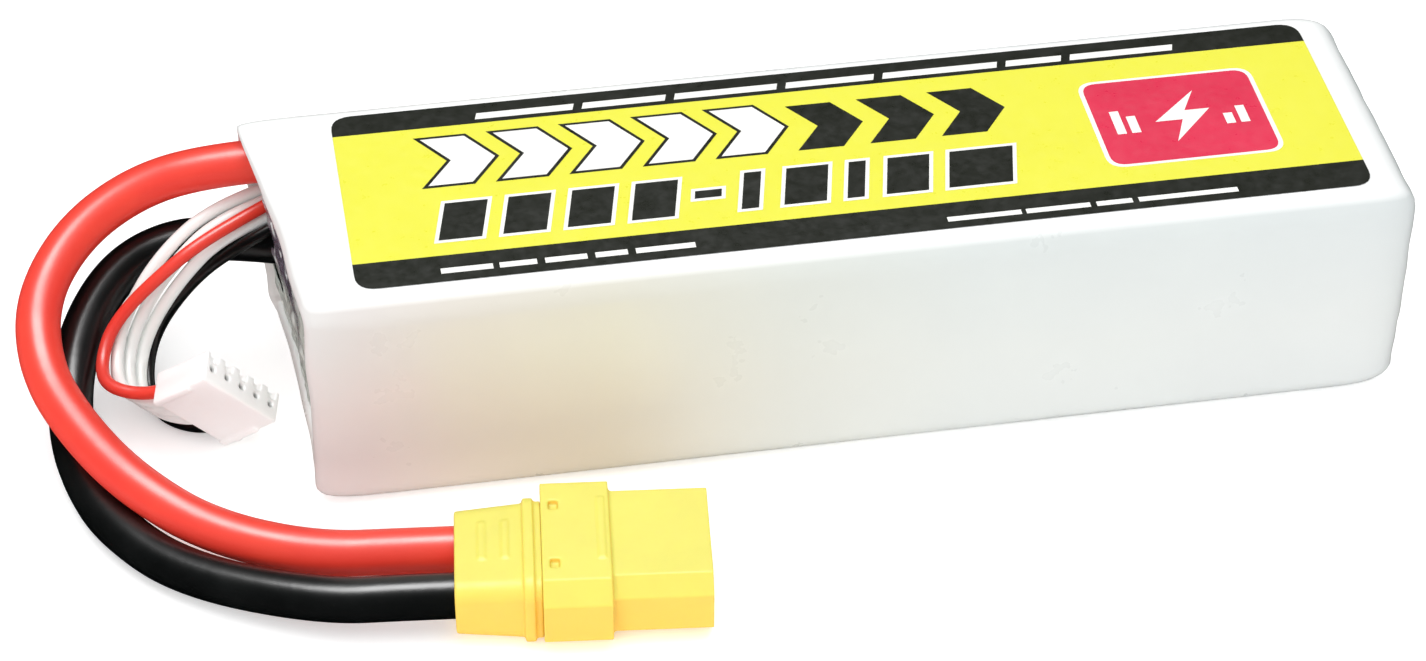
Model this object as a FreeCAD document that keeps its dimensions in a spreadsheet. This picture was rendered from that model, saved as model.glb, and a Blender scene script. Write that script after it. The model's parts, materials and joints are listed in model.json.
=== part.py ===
"""Four-cell lithium polymer battery pack with a capped two-pole main plug and a balance plug.

Frame, in millimetres: the origin is the bottom centre of the shrink sleeve, +X runs along
the pack away from the leads, +Y across it and +Z up. The plugs lie beside the pack on the
surface it stands on. Every sub-part is one named document object, written to parts/NAME.step.
"""
import FreeCAD, Part
import math
import os
import re
import Sketcher

os.makedirs("parts", exist_ok=True)
doc = FreeCAD.newDocument("battery_pack")
vector = FreeCAD.Vector

# Driving dimensions, in millimetres unless the name ends in _angle (degrees) or _count.
DIMENSIONS = {
    # shrink sleeve and label
    "sleeve_length": 144,
    "sleeve_width": 42,
    "sleeve_height": 32.2,
    "sleeve_corner": 3,
    "sleeve_film": 0.4,
    "sleeve_slant": 3.8,
    "lead_end_inset": 1.2,
    "rear_end_inset": 5,
    "label_length": 128,
    "label_width": 35,
    "label_film": 0.1,
    "label_corner": 2.8,
    "label_offset": 2.5,
    # cell stack
    "cell_count": 4,
    "stack_front": 58,
    "stack_rear": 68.4,
    "stack_base": 0.45,
    "cell_width": 41,
    "cell_thickness": 7.3,
    "cell_corner": 2.5,
    "terrace_length": 4,
    "terrace_width": 38,
    "terrace_thickness": 0.6,
    "pad_width": 36,
    "pad_thickness": 0.3,
    "plate_thickness": 0.6,
    "rear_pad_gap": 0.2,
    "rear_pad_thickness": 2.8,
    "rear_pad_width": 37,
    "rear_pad_height": 27,
    # wiring board, tabs and end tape
    "board_face": 66,
    "board_thickness": 1,
    "board_near_edge": 17,
    "board_far_edge": 20.3,
    "board_base": 2.5,
    "board_top": 30.4,
    "tab_width": 8,
    "tab_thickness": 0.2,
    "tab_reach": 0.4,
    "tab_pitch": 16,
    "tab_centre": 3,
    "tab_slot_gap": 0.15,
    "tab_solder_width": 9,
    "tab_solder_height": 1.6,
    "tab_solder_depth": 0.6,
    "tape_thickness": 1.2,
    "tape_window_depth": 7.2,
    "tape_far_x": 71.4,
    "tape_near_x": 67.6,
    "tape_half_width": 20.4,
    "tape_inset": 0.6,
    "window_near_edge": 9,
    "window_far_edge": 20,
    "window_base": 12,
    "window_top": 30.5,
    # leads and balance wires
    "lead_radius": 2.85,
    "lead_core_radius": 2.1,
    "lead_board_end": 2.5,
    "lead_board_solder_radius": 2.9,
    "lead_board_solder_depth": 1.5,
    "wire_radius": 0.85,
    "wire_core_radius": 0.55,
    "wire_board_end": 2.3,
    "wire_board_solder_radius": 0.8,
    "wire_board_solder_depth": 1,
    # main plug, measured along its own axis back from the front face
    "plug_x": -22.45,
    "plug_y": -43.4,
    "plug_angle": -6.4,
    "plug_axis_height": 5.2,
    "pole_pitch": 8.1,
    "block_length": 12.1,
    "block_width": 17,
    "block_thickness": 9.4,
    "block_chamfer": 2.1,
    "collar_length": 8.35,
    "collar_width": 19.5,
    "collar_thickness": 10.4,
    "collar_chamfer": 2.4,
    "contact_hole_radius": 3,
    "latch_window_length": 1.2,
    "latch_window_width": 1.5,
    "latch_window_depth": 0.7,
    "latch_window_front": 18.3,
    "latch_window_offset": 5.1,
    "latch_window_middle": 0.7,
    "collar_bar_front": 12.75,
    "collar_bar_length": 0.8,
    "collar_bar_width": 10.6,
    "collar_bar_middle": 1.5,
    "collar_bar_rise": 0.18,
    "contact_radius": 2.95,
    "contact_setback": 0.4,
    "contact_rear": 22,
    "socket_radius": 2.25,
    "socket_depth": 12,
    "socket_lead_in": 0.3,
    "cup_radius": 2.45,
    "cup_front": 17.5,
    "insulation_start": 25,
    # plug cap
    "cap_rear": 31,
    "cap_rear_width": 15.6,
    "cap_rear_thickness": 8,
    "cap_corner": 2.2,
    "cap_taper_angle": 3.5,
    "cap_cavity_width": 14.2,
    "cap_cavity_thickness": 6.6,
    "cap_cavity_corner": 1.2,
    "cap_rear_wall": 1.2,
    "cap_hole_radius": 3.1,
    "cap_bead_rear": 22.7,
    "cap_bead_length": 1.3,
    "cap_bead_width": 17.8,
    "cap_bead_thickness": 10,
    "cap_bead_corner": 2.6,
    "cap_rib_length": 0.8,
    "cap_rib_width": 6.4,
    "cap_rib_middle": 0.9,
    "cap_rib_rise": 0.2,
    "cap_rib_first": 24.9,
    "cap_rib_pitch": 2.8,
    "cap_slide_travel": 4,
    # balance plug, in its own axes: X along the row of pins, Y out of the mouth
    "balance_x": -79.5,
    "balance_y": -7,
    "balance_z": 8.6,
    "balance_count": 5,
    "balance_pitch": 2.5,
    "balance_length": 12.6,
    "balance_depth": 9.4,
    "balance_thickness": 4.4,
    "balance_rail_width": 1,
    "balance_rail_rise": 0.35,
    "balance_rail_length": 6.4,
    "balance_nub_length": 1.1,
    "balance_nub_middle": 2.5,
    "balance_nub_rise": 0.6,
    "balance_nub_root": 1,
    "balance_nub_thickness": 1.2,
    "balance_notch_width": 1.2,
    "balance_notch_depth": 0.8,
    "balance_notch_floor": 0.9,
    "balance_mouth_wall": 1,
    "balance_mouth_side": 0.8,
    "balance_mouth_reach": 1.5,
    "balance_window_width": 1.3,
    "balance_window_length": 1.6,
    "balance_window_middle": 0.6,
    "balance_cavity_side": 1.7,
    "balance_wire_hole_radius": 0.95,
    "balance_wire_depth": 2.5,
    "terminal_side": 1.4,
    "terminal_length": 5.9,
    "terminal_bore_side": 0.8,
    "terminal_bore_depth": 4.6,
}

sheet = doc.addObject("Spreadsheet::Sheet", "sizes")
for row, (alias, number) in enumerate(DIMENSIONS.items(), start=1):
    sheet.set("A%d" % row, alias)
    sheet.set("B%d" % row, str(number))
    sheet.setAlias("B%d" % row, alias)
doc.recompute()


def size(alias):
    """The number the sheet holds under a name."""
    return float(sheet.get(alias))


# A name in the sheet: a plain word that isn't a function followed by its bracket.
SHEET_NAME = re.compile(r"\b[a-z]\w*\b(?!\()")


def formula(text):
    """An expression in which every sheet name is given in full."""
    return SHEET_NAME.sub(r"sizes.\g<0>", str(text))


def bind(feature, formulas):
    """Tie properties of a feature to formulas over the sheet."""
    for name, text in formulas.items():
        feature.setExpression(name, formula(text))
    return feature


def put(feature, place):
    """Bind a feature's position to three formulas."""
    return bind(feature, dict(zip(("Placement.Base.x", "Placement.Base.y", "Placement.Base.z"), place)))


def box(name, sides, corner):
    """A box with bound sides and a bound lowest corner."""
    feature = doc.addObject("Part::Box", name)
    bind(feature, dict(zip(("Length", "Width", "Height"), sides)))
    return put(feature, corner)


def rod(name, radius, length, start, direction):
    """A cylinder from a start point along a fixed direction, with bound radius and length."""
    feature = doc.addObject("Part::Cylinder", name)
    bind(feature, {"Radius": radius, "Height": length})
    feature.Placement.Rotation = FreeCAD.Rotation(vector(0, 0, 1), vector(*direction))
    feature.Placement.Base = vector(*start)
    return feature


def bound_rod(name, radius, length, start, direction):
    """A cylinder like rod(), with its start point bound to formulas too."""
    return put(rod(name, radius, length, (0, 0, 0), direction), start)


def draw(body, name, plane, outline):
    """A closed sketch on one of a body's own planes, every corner tied to two formulas."""
    base = [item for item in body.Origin.OriginFeatures if item.Role == plane][0]
    sketch = body.newObject("Sketcher::SketchObject", name)
    sketch.AttachmentSupport = (base, [""])
    sketch.MapMode = "FlatFace"
    corners = [vector(evaluate(x), evaluate(y), 0) for x, y in outline]
    for index, corner in enumerate(corners):
        sketch.addGeometry(Part.LineSegment(corner, corners[(index + 1) % len(corners)]), False)
    for index, (x, y) in enumerate(outline):
        following = (index + 1) % len(outline)
        sketch.addConstraint(Sketcher.Constraint("Coincident", index, 2, following, 1))
        for kind, text in (("DistanceX", x), ("DistanceY", y)):
            number = sketch.addConstraint(
                Sketcher.Constraint(kind, -1, 1, index, 1, evaluate(text)))
            sketch.setExpression("Constraints[%d]" % number, formula(text))
    return sketch


def evaluate(text):
    """The present value of a formula."""
    return float(sheet.evalExpression(
        SHEET_NAME.sub(lambda match: str(size(match.group(0))), str(text))))


ALONG_AXIS = math.cos(math.radians(8))


def round_edges(body, feature, name, axis, radius):
    """Fillet the edges of a feature that run along an axis, within a few degrees."""
    names = []
    for index, edge in enumerate(feature.Shape.Edges, start=1):
        along = edge.tangentAt(edge.FirstParameter).dot(axis)
        if abs(along) > ALONG_AXIS:
            names.append("Edge%d" % index)
    fillet = body.newObject("PartDesign::Fillet", name)
    fillet.Base = (feature, names)
    return bind(fillet, {"Radius": radius})


def extrusion(name, plane, outline, depth, corner=None, taper=0):
    """A body padded from an outline, widening by a taper, with the edges along it rounded."""
    body = doc.addObject("PartDesign::Body", name)
    pad = body.newObject("PartDesign::Pad", name + "_pad")
    pad.Profile = draw(body, name + "_outline", plane, outline)
    bind(pad, {"Length": depth, "TaperAngle": taper})
    doc.recompute()
    body.Tip = pad
    if corner:
        axis = {"XY_Plane": vector(0, 0, 1), "YZ_Plane": vector(1, 0, 0)}[plane]
        body.Tip = round_edges(body, pad, name + "_corners", axis, corner)
    return body


def rectangle(width, height):
    """A rectangle centred on the sketch origin."""
    right, top = "(%s) / 2" % width, "(%s) / 2" % height
    return [("-1 * " + right, "-1 * " + top), (right, "-1 * " + top),
            (right, top), ("-1 * " + right, top)]


def keyed_outline(width, height, chamfer):
    """A rectangle centred on the sketch origin with the two corners of its -X side cut off."""
    right, top = "(%s) / 2" % width, "(%s) / 2" % height
    return [("-1 * %s + %s" % (right, chamfer), "-1 * " + top), (right, "-1 * " + top), (right, top),
            ("-1 * %s + %s" % (right, chamfer), top),
            ("-1 * " + right, "%s - %s" % (top, chamfer)),
            ("-1 * " + right, "-1 * %s + %s" % (top, chamfer))]


def join(name, features):
    """One solid or group of solids fused from several features."""
    fused = doc.addObject("Part::MultiFuse", name)
    fused.Shapes = features
    return fused


def cut(name, base, tool):
    """A feature less a tool."""
    result = doc.addObject("Part::Cut", name)
    result.Base = base
    result.Tool = tool
    return result


def group(name, features):
    """Separate identical pieces that share one node."""
    compound = doc.addObject("Part::Compound", name)
    compound.Links = features
    return compound


parts = []


def part(feature, label, placement=None):
    """Register a finished feature as a sub-part under its label, moved to its place."""
    feature.Label = label
    if placement:
        feature.Placement = placement
    parts.append(feature)
    return feature


# ---------------------------------------------------------------- shrink sleeve and label
def slanted_block(name, inset):
    """The pack's footprint between its slanted lead end and square rear end, drawn in by an inset."""
    far_left = "-1 * sleeve_length / 2 + %s" % inset
    near_left = far_left + " + sleeve_slant"
    right = "sleeve_length / 2 - %s" % inset
    outline = [
        (far_left, "sleeve_width"),
        (far_left, "sleeve_width / 2"),
        (near_left, "-1 * sleeve_width / 2"),
        (near_left, "-1 * sleeve_width"),
        (right, "-1 * sleeve_width"),
        (right, "sleeve_width"),
    ]
    return extrusion(name, "XY_Plane", outline, "2 * sleeve_height")


def sleeve_bar(name, inset, corner):
    """A rounded bar as long as the sleeve, drawn in by an inset on its four long sides."""
    bar = extrusion(name, "YZ_Plane",
                    rectangle("sleeve_width - 2 * %s" % inset, "sleeve_height - 2 * %s" % inset),
                    "sleeve_length", corner)
    return put(bar, ("-1 * sleeve_length / 2", 0, "sleeve_height / 2"))


def clipped(name, bar, block):
    """The part of a bar inside a block."""
    common = doc.addObject("Part::Common", name)
    common.Base = bar
    common.Tool = block
    return common


def end_opening(name, inset, start):
    """The opening left by the film that folds in over one end."""
    bar = extrusion(name, "YZ_Plane",
                    rectangle("sleeve_width - 2 * %s" % inset, "sleeve_height - 2 * %s" % inset),
                    "sleeve_length / 4", "sleeve_corner - sleeve_film")
    return put(bar, (start, 0, "sleeve_height / 2"))


sleeve_outside = clipped("sleeve_outside",
                         sleeve_bar("sleeve_outer_bar", "0", "sleeve_corner"),
                         slanted_block("sleeve_outer_ends", "0"))
sleeve_inside = clipped("sleeve_inside",
                        sleeve_bar("sleeve_inner_bar", "sleeve_film", "sleeve_corner - sleeve_film"),
                        slanted_block("sleeve_inner_ends", "sleeve_film"))
lead_opening = end_opening("lead_end_opening", "lead_end_inset", "-5 / 8 * sleeve_length")
rear_opening = end_opening("rear_end_opening", "rear_end_inset", "3 / 8 * sleeve_length")
part(cut("sleeve_film_solid", sleeve_outside,
         join("sleeve_hollow", [sleeve_inside, lead_opening, rear_opening])), "shrink_sleeve")

label = extrusion("label_sheet", "XY_Plane", rectangle("label_length", "label_width"),
                  "label_film", "label_corner")
part(put(label, ("label_offset", 0, "sleeve_height")), "label")


# ---------------------------------------------------------------- cells, pads and plates
def cell_base(index):
    """The height of the underside of a cell, counted from 0 at the bottom."""
    return "stack_base + plate_thickness + %d * (cell_thickness + pad_thickness)" % index


def cell_middle(index):
    """The height of the seam of a cell, where its tabs come out."""
    return cell_base(index) + " + cell_thickness / 2"


def stack_sheet(name, thickness, base):
    """A flat sheet as long as the cell bodies."""
    return box(name, ("stack_front + stack_rear", "pad_width", thickness),
               ("-1 * stack_front", "-1 * pad_width / 2", base))


for index in range(int(size("cell_count"))):
    number = index + 1
    pouch = extrusion("cell_%d_pouch" % number, "YZ_Plane",
                      rectangle("cell_width", "cell_thickness"),
                      "stack_front + stack_rear", "cell_corner")
    put(pouch, ("-1 * stack_front", 0, cell_middle(index)))
    terrace = box("cell_%d_terrace" % number,
                  ("terrace_length", "terrace_width", "terrace_thickness"),
                  ("-1 * stack_front - terrace_length", "-1 * terrace_width / 2",
                   cell_middle(index) + " - terrace_thickness / 2"))
    part(join("cell_%d_solid" % number, [pouch, terrace]), "cell_%d" % number)
    if index:
        part(stack_sheet("cell_pad_%d_sheet" % index, "pad_thickness",
                         cell_base(index) + " - pad_thickness"), "cell_pad_%d" % index)

part(stack_sheet("bottom_plate_sheet", "plate_thickness", "stack_base"), "bottom_guard_plate")
part(stack_sheet("top_plate_sheet", "plate_thickness",
                 cell_base(int(size("cell_count"))) + " - pad_thickness"), "top_guard_plate")
part(box("rear_pad_block", ("rear_pad_thickness", "rear_pad_width", "rear_pad_height"),
         ("stack_rear + rear_pad_gap", "-1 * rear_pad_width / 2",
          "sleeve_height / 2 - rear_pad_height / 2")), "rear_pad")


# ---------------------------------------------------------------- cell tabs and wiring board
def tab_middle(index, pole):
    """Across the pack: where the middle of a tab is. The poles swap sides from cell to cell."""
    side = 1 if (index + pole) % 2 == 0 else -1
    return "-1 * tab_centre + %d * tab_pitch / 2" % side


def tab_strip(name, index, pole, grow, start, length):
    """A strip on the line of one tab, wider and thicker than the tab by grow on each side."""
    return box(name, (length, "tab_width + 2 * %s" % grow, "tab_thickness + 2 * %s" % grow),
               (start, tab_middle(index, pole) + " - tab_width / 2 - %s" % grow,
                cell_middle(index) + " - tab_thickness / 2 - %s" % grow))


slots = []
tab_joints = []
for index in range(int(size("cell_count"))):
    for pole, pole_name in enumerate(("positive", "negative")):
        name = "cell_%d_%s" % (index + 1, pole_name)
        part(tab_strip(name + "_strip", index, pole, "0", "-1 * board_face - tab_reach",
                       "board_face + tab_reach - stack_front - terrace_length"), name + "_tab")
        slots.append(tab_strip(name + "_slot", index, pole, "tab_slot_gap",
                               "-1 * board_face", "board_thickness"))
        blob = box(name + "_blob", ("tab_solder_depth", "tab_solder_width", "tab_solder_height"),
                   ("-1 * board_face - tab_solder_depth",
                    tab_middle(index, pole) + " - tab_solder_width / 2",
                    cell_middle(index) + " - tab_solder_height / 2"))
        core = tab_strip(name + "_blob_core", index, pole, "0", "-1 * board_face - tab_reach",
                         "tab_reach")
        tab_joints.append(cut(name + "_joint", blob, core))
part(group("tab_joint_group", tab_joints), "tab_solder_joints")

board = box("board_sheet",
            ("board_thickness", "board_near_edge + board_far_edge", "board_top - board_base"),
            ("-1 * board_face", "-1 * board_near_edge", "board_base"))
part(cut("board_slotted", board, join("board_slots", slots)), "wiring_board")

tape_outline = [
    ("-1 * tape_far_x", "tape_half_width"),
    ("-1 * tape_near_x", "-1 * tape_half_width"),
    ("-1 * tape_near_x + tape_thickness", "-1 * tape_half_width"),
    ("-1 * tape_far_x + tape_thickness", "tape_half_width"),
]
tape_slab = clipped("tape_slab", extrusion("tape_sheet", "XY_Plane", tape_outline, "sleeve_height"),
                    sleeve_bar("tape_bar", "tape_inset", "sleeve_corner - tape_inset"))
tape_window = box("tape_window",
                  ("tape_window_depth", "window_far_edge - window_near_edge",
                   "window_top - window_base"),
                  ("-1 * tape_far_x - tape_thickness", "window_near_edge", "window_base"))
part(cut("tape_with_window", tape_slab, tape_window), "end_tape")

# ---------------------------------------------------------------- frames of the two plugs
plug_turn = FreeCAD.Rotation(vector(0, 0, 1), size("plug_angle"))
plug_frame = FreeCAD.Placement(
    vector(size("plug_x"), size("plug_y"), size("plug_axis_height")), plug_turn)

# The balance plug stands on a lower corner: the row of pins slopes down and the mouth faces up.
ROW_DIRECTION = vector(0.669, 0.072, -0.740)
MOUTH_DIRECTION = vector(0.710, -0.355, 0.608)
balance_turn = FreeCAD.Rotation(ROW_DIRECTION, MOUTH_DIRECTION, vector(0, 0, 0), "YXZ")
balance_frame = FreeCAD.Placement(
    vector(size("balance_x"), size("balance_y"), size("balance_z")), balance_turn)


def at_plug(along, across):
    """A point on the main plug's middle plane: how far behind the front face and how far across."""
    point = plug_frame.multVec(vector(-along, across, 0))
    return (point.x, point.y, point.z)


def at_pin(along, pin):
    """A point on a balance pin's axis, counted from 1, at a distance towards the mouth."""
    point = balance_frame.multVec(vector(pin_offset(pin), along, 0))
    return (point.x, point.y, point.z)


def pin_offset(pin):
    """How far along the row a balance pin is from the middle of the plug."""
    return (pin - (size("balance_count") + 1) / 2) * size("balance_pitch")


# ---------------------------------------------------------------- leads and balance wires
POLE = size("pole_pitch") / 2

ROUTES = {
    "positive_lead": [
        (-69, 16.5, 27.4), (-77.5, 17.4, 26.8), (-86.8, 18.1, 24), (-95.3, 14.4, 20.4),
        (-100.8, 6.5, 16.4), (-100.9, -2.8, 12.6), (-97.1, -11.6, 10.2), (-91.2, -20.3, 7.9),
        (-82.3, -27.7, 5.2), (-69.7, -33.7, 4.8), at_plug(36, POLE),
        at_plug(size("insulation_start"), POLE)],
    "negative_lead": [
        (-69, 13.8, 15.8), (-76, 15, 16.6), (-83, 16.2, 16.2), (-90, 14.9, 13.6),
        (-95.2, 9.7, 9.6), (-97.7, 2.8, 5.8), (-98.2, -5, 3.4), (-97, -13.3, 2.95),
        (-93.5, -23.1, 2.95), (-85.4, -32.8, 2.95), (-69.6, -41.8, 4.6), at_plug(36, -POLE),
        at_plug(size("insulation_start"), -POLE)],
    "balance_wire_1": [
        (-69, 14.4, 22.6), (-76.8, 10.6, 21.5), (-83.4, 7.4, 19.2), (-91.3, 7.4, 11.2),
        (-93.7, 3.2, 7.8), (-93.1, -2.2, 8)],
    "balance_wire_2": [
        (-69, 18.6, 21.7), (-77.1, 15.6, 21.7), (-84.9, 11.6, 17.5), (-90.3, 8.9, 10),
        (-91.9, 3.8, 6.3), (-91.2, -1.8, 6.4)],
    "balance_wire_3": [
        (-69, 16.6, 21.2), (-76.5, 13.2, 21.6), (-83.7, 10.2, 16.5), (-88.9, 9.5, 8),
        (-90.6, 4.1, 4.7), (-89.6, -1.6, 4.5)],
    "balance_wire_4": [
        (-69, 14.5, 20.3), (-76.2, 11.9, 19.7), (-82.3, 9.8, 15), (-87.5, 9.9, 6.5),
        (-89.3, 4.5, 3), (-88, -1.4, 2.8)],
    "balance_wire_5": [
        (-69, 12.2, 20.2), (-76, 11, 17.6), (-81.8, 11, 12.6), (-86.9, 11.4, 4.6),
        (-88.4, 4.9, 1.4), (-86.6, -1.2, 0.95)],
}
PIN_APPROACH = 1.8
wire_stop = size("balance_wire_depth") - size("balance_depth") / 2
for pin in range(1, int(size("balance_count")) + 1):
    ROUTES["balance_wire_%d" % pin] += [
        at_pin(-size("balance_depth") / 2 - PIN_APPROACH, pin), at_pin(wire_stop, pin)]

ARC_SHARE = 0.45


def smooth_path(points):
    """Straight runs through the points joined by tangent arcs, with the arc radii."""
    points = [vector(*point) for point in points]
    edges = []
    radii = []
    start = points[0]
    for before, corner, after in zip(points, points[1:], points[2:]):
        incoming = (corner - before).normalize()
        outgoing = (after - corner).normalize()
        turn = incoming.getAngle(outgoing)
        tangent = ARC_SHARE * min((corner - before).Length, (after - corner).Length)
        radius = tangent / math.tan(turn / 2)
        arc_start = corner - incoming * tangent
        arc_end = corner + outgoing * tangent
        to_centre = (outgoing - incoming).normalize()
        centre = corner + to_centre * math.hypot(tangent, radius)
        middle = centre - to_centre * radius
        edges.append(Part.LineSegment(start, arc_start).toShape())
        edges.append(Part.Arc(arc_start, middle, arc_end).toShape())
        radii.append(radius)
        start = arc_end
    edges.append(Part.LineSegment(start, points[-1]).toShape())
    return Part.Wire(edges), radii


def tube(name, points, radius):
    """A round cord along a smooth path: a bound circle swept along a stored wire."""
    wire, radii = smooth_path(points)
    spine = doc.addObject("Part::Feature", name + "_path")
    spine.Shape = wire
    circle = doc.addObject("Part::Circle", name + "_section")
    bind(circle, {"Radius": radius})
    circle.Placement = FreeCAD.Placement(
        vector(*points[0]),
        FreeCAD.Rotation(vector(0, 0, 1), vector(*points[1]) - vector(*points[0])))
    sweep = doc.addObject("Part::Sweep", name + "_sweep")
    sweep.Sections = [circle]
    sweep.Spine = (spine, ["Edge%d" % (index + 1) for index in range(len(wire.Edges))])
    sweep.Solid = True
    sweep.Frenet = False
    doc.recompute()
    expected = math.pi * evaluate(radius) ** 2 * wire.Length
    print("%-16s length %6.1f  radii %s  volume ratio %.4f" % (
        name, wire.Length, " ".join("%.1f" % value for value in radii),
        sweep.Shape.Volume / expected))
    return sweep


def board_end(name, points, radius, length):
    """The bare end of a conductor between its insulation and the wiring board."""
    back = vector(*points[0]) - vector(*points[1])
    return rod(name, radius, length, points[0], back)


main_joints = []
for pole_name, across in (("positive", POLE), ("negative", -POLE)):
    name = pole_name + "_lead"
    points = ROUTES[name]
    part(tube(name, points, "lead_radius"), name)
    inner = board_end(name + "_board_end", points, "lead_core_radius", "lead_board_end")
    core = rod(name + "_cup_end", "lead_core_radius", "insulation_start - cup_front",
               at_plug(size("insulation_start"), across), tuple(plug_turn.multVec(vector(1, 0, 0))))
    part(group(name + "_end_group", [inner, core]), name + "_ends")
    back = (vector(*points[0]) - vector(*points[1])).normalize()
    middle = vector(*points[0]) + back * size("lead_board_end")
    blob = rod(name + "_board_blob", "lead_board_solder_radius", "lead_board_solder_depth",
               (-size("board_face"), middle.y, middle.z), (-1, 0, 0))
    hollow = board_end(name + "_board_blob_core", points, "lead_core_radius", "lead_board_end")
    main_joints.append(cut(name + "_board_joint", blob, hollow))
part(group("main_joint_group", main_joints), "main_solder_joints")

wire_ends = []
wire_joints = []
for pin in range(1, int(size("balance_count")) + 1):
    name = "balance_wire_%d" % pin
    points = ROUTES[name]
    part(tube(name, points, "wire_radius"), name)
    wire_ends.append(board_end(name + "_board_end", points, "wire_core_radius", "wire_board_end"))
    back = (vector(*points[0]) - vector(*points[1])).normalize()
    middle = vector(*points[0]) + back * size("wire_board_end")
    blob = rod(name + "_board_blob", "wire_board_solder_radius", "wire_board_solder_depth",
               (-size("board_face"), middle.y, middle.z), (-1, 0, 0))
    hollow = board_end(name + "_board_blob_core", points, "wire_core_radius", "wire_board_end")
    wire_joints.append(cut(name + "_board_joint", blob, hollow))
part(group("wire_end_group", wire_ends), "balance_wire_ends")
part(group("wire_joint_group", wire_joints), "balance_solder_joints")


# ---------------------------------------------------------------- main plug housing
def keyed_bar(name, width, height, chamfer, start, length):
    """A bar along the plug axis with its two keyed corners cut off, from a start behind the front."""
    bar = extrusion(name, "YZ_Plane", keyed_outline(width, height, chamfer), length)
    return put(bar, ("-1 * (%s) - (%s)" % (start, length), 0, 0))


block = keyed_bar("plug_block", "block_width", "block_thickness", "block_chamfer",
                  "0", "block_length")
collar = keyed_bar("plug_collar", "collar_width", "collar_thickness", "collar_chamfer",
                   "block_length", "collar_length")
housing_cuts = []
for pole_name, side in (("positive", 1), ("negative", -1)):
    housing_cuts.append(bound_rod(
        pole_name + "_contact_hole", "contact_hole_radius", "block_length + collar_length",
        ("-1 * block_length - collar_length", "%d * pole_pitch / 2" % side, 0), (1, 0, 0)))
for index, side in enumerate((1, -1)):
    housing_cuts.append(box(
        "latch_window_%d" % (index + 1),
        ("latch_window_length", "latch_window_width", "latch_window_depth"),
        ("-1 * latch_window_front - latch_window_length",
         "latch_window_middle + %d * latch_window_offset - latch_window_width / 2" % side,
         "collar_thickness / 2 - latch_window_depth")))
collar_bar = box("collar_bar", ("collar_bar_length", "collar_bar_width", "2 * collar_bar_rise"),
                 ("-1 * collar_bar_front - collar_bar_length",
                  "collar_bar_middle - collar_bar_width / 2",
                  "collar_thickness / 2 - collar_bar_rise"))
part(cut("plug_housing_solid", join("plug_housing_outside", [block, collar, collar_bar]),
         join("plug_housing_cuts", housing_cuts)), "connector_housing", plug_frame)


# ---------------------------------------------------------------- plug contacts and solder
def turned(name, outline):
    """A body of revolution about the X axis from a half section."""
    body = doc.addObject("PartDesign::Body", name)
    sketch = draw(body, name + "_section", "XY_Plane", outline)
    revolution = body.newObject("PartDesign::Revolution", name + "_turn")
    revolution.Profile = sketch
    revolution.ReferenceAxis = (sketch, ["H_Axis"])
    revolution.Angle = 360
    doc.recompute()
    body.Tip = revolution
    return body


contact_outline = [
    ("-1 * contact_rear", "cup_radius"),
    ("-1 * contact_rear", "contact_radius"),
    ("-1 * contact_setback", "contact_radius"),
    ("-1 * contact_setback", "socket_radius + socket_lead_in"),
    ("-1 * contact_setback - socket_lead_in", "socket_radius"),
    ("-1 * contact_setback - socket_lead_in - socket_depth", "socket_radius"),
    ("-1 * contact_setback - socket_lead_in - socket_depth", "0"),
    ("-1 * cup_front", "0"),
    ("-1 * cup_front", "cup_radius"),
]
solder_outline = [
    ("-1 * contact_rear", "lead_core_radius"),
    ("-1 * contact_rear", "cup_radius"),
    ("-1 * cup_front", "cup_radius"),
    ("-1 * cup_front", "lead_core_radius"),
]
for pole_name, across in (("positive", POLE), ("negative", -POLE)):
    frame = plug_frame.multiply(FreeCAD.Placement(vector(0, across, 0), FreeCAD.Rotation()))
    part(turned(pole_name + "_contact_turned", contact_outline), pole_name + "_contact", frame)
    part(turned(pole_name + "_solder_ring", solder_outline), pole_name + "_contact_solder", frame)

# ---------------------------------------------------------------- plug cap
cap_length = "cap_rear - block_length - collar_length"
cap_body = put(extrusion("cap_taper", "YZ_Plane", rectangle("cap_rear_width", "cap_rear_thickness"),
                         cap_length, "cap_corner", "cap_taper_angle"),
               ("-1 * cap_rear", 0, 0))


def cap_top(behind):
    """The height of the cap's sloping top above the plug axis, at a distance behind the front."""
    return "cap_rear_thickness / 2 + (cap_rear - (%s)) * tan(cap_taper_angle)" % behind


cap_bead = put(extrusion("cap_bead", "YZ_Plane", rectangle("cap_bead_width", "cap_bead_thickness"),
                         "cap_bead_length", "cap_bead_corner"),
               ("-1 * cap_bead_rear", 0, 0))
cap_solids = [cap_body, cap_bead]
for index in range(2):
    behind = "cap_rib_first + %d * cap_rib_pitch" % index
    cap_solids.append(box(
        "cap_rib_%d" % (index + 1), ("cap_rib_length", "cap_rib_width", "2 * cap_rib_rise"),
        ("-1 * (%s) - cap_rib_length / 2" % behind, "cap_rib_middle - cap_rib_width / 2",
         cap_top(behind) + " - cap_rib_rise")))
cap_cavity = extrusion("cap_cavity", "YZ_Plane",
                       rectangle("cap_cavity_width", "cap_cavity_thickness"),
                       cap_length + " - cap_rear_wall", "cap_cavity_corner")
put(cap_cavity, ("-1 * cap_rear + cap_rear_wall", 0, 0))
cap_cuts = [cap_cavity]
for pole_name, side in (("positive", 1), ("negative", -1)):
    cap_cuts.append(bound_rod(
        pole_name + "_cap_hole", "cap_hole_radius", "2 * cap_rear_wall",
        ("-1 * cap_rear - cap_rear_wall / 2", "%d * pole_pitch / 2" % side, 0), (1, 0, 0)))
part(cut("cap_solid", join("cap_outside", cap_solids), join("cap_cuts", cap_cuts)),
     "connector_cap", plug_frame)

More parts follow.
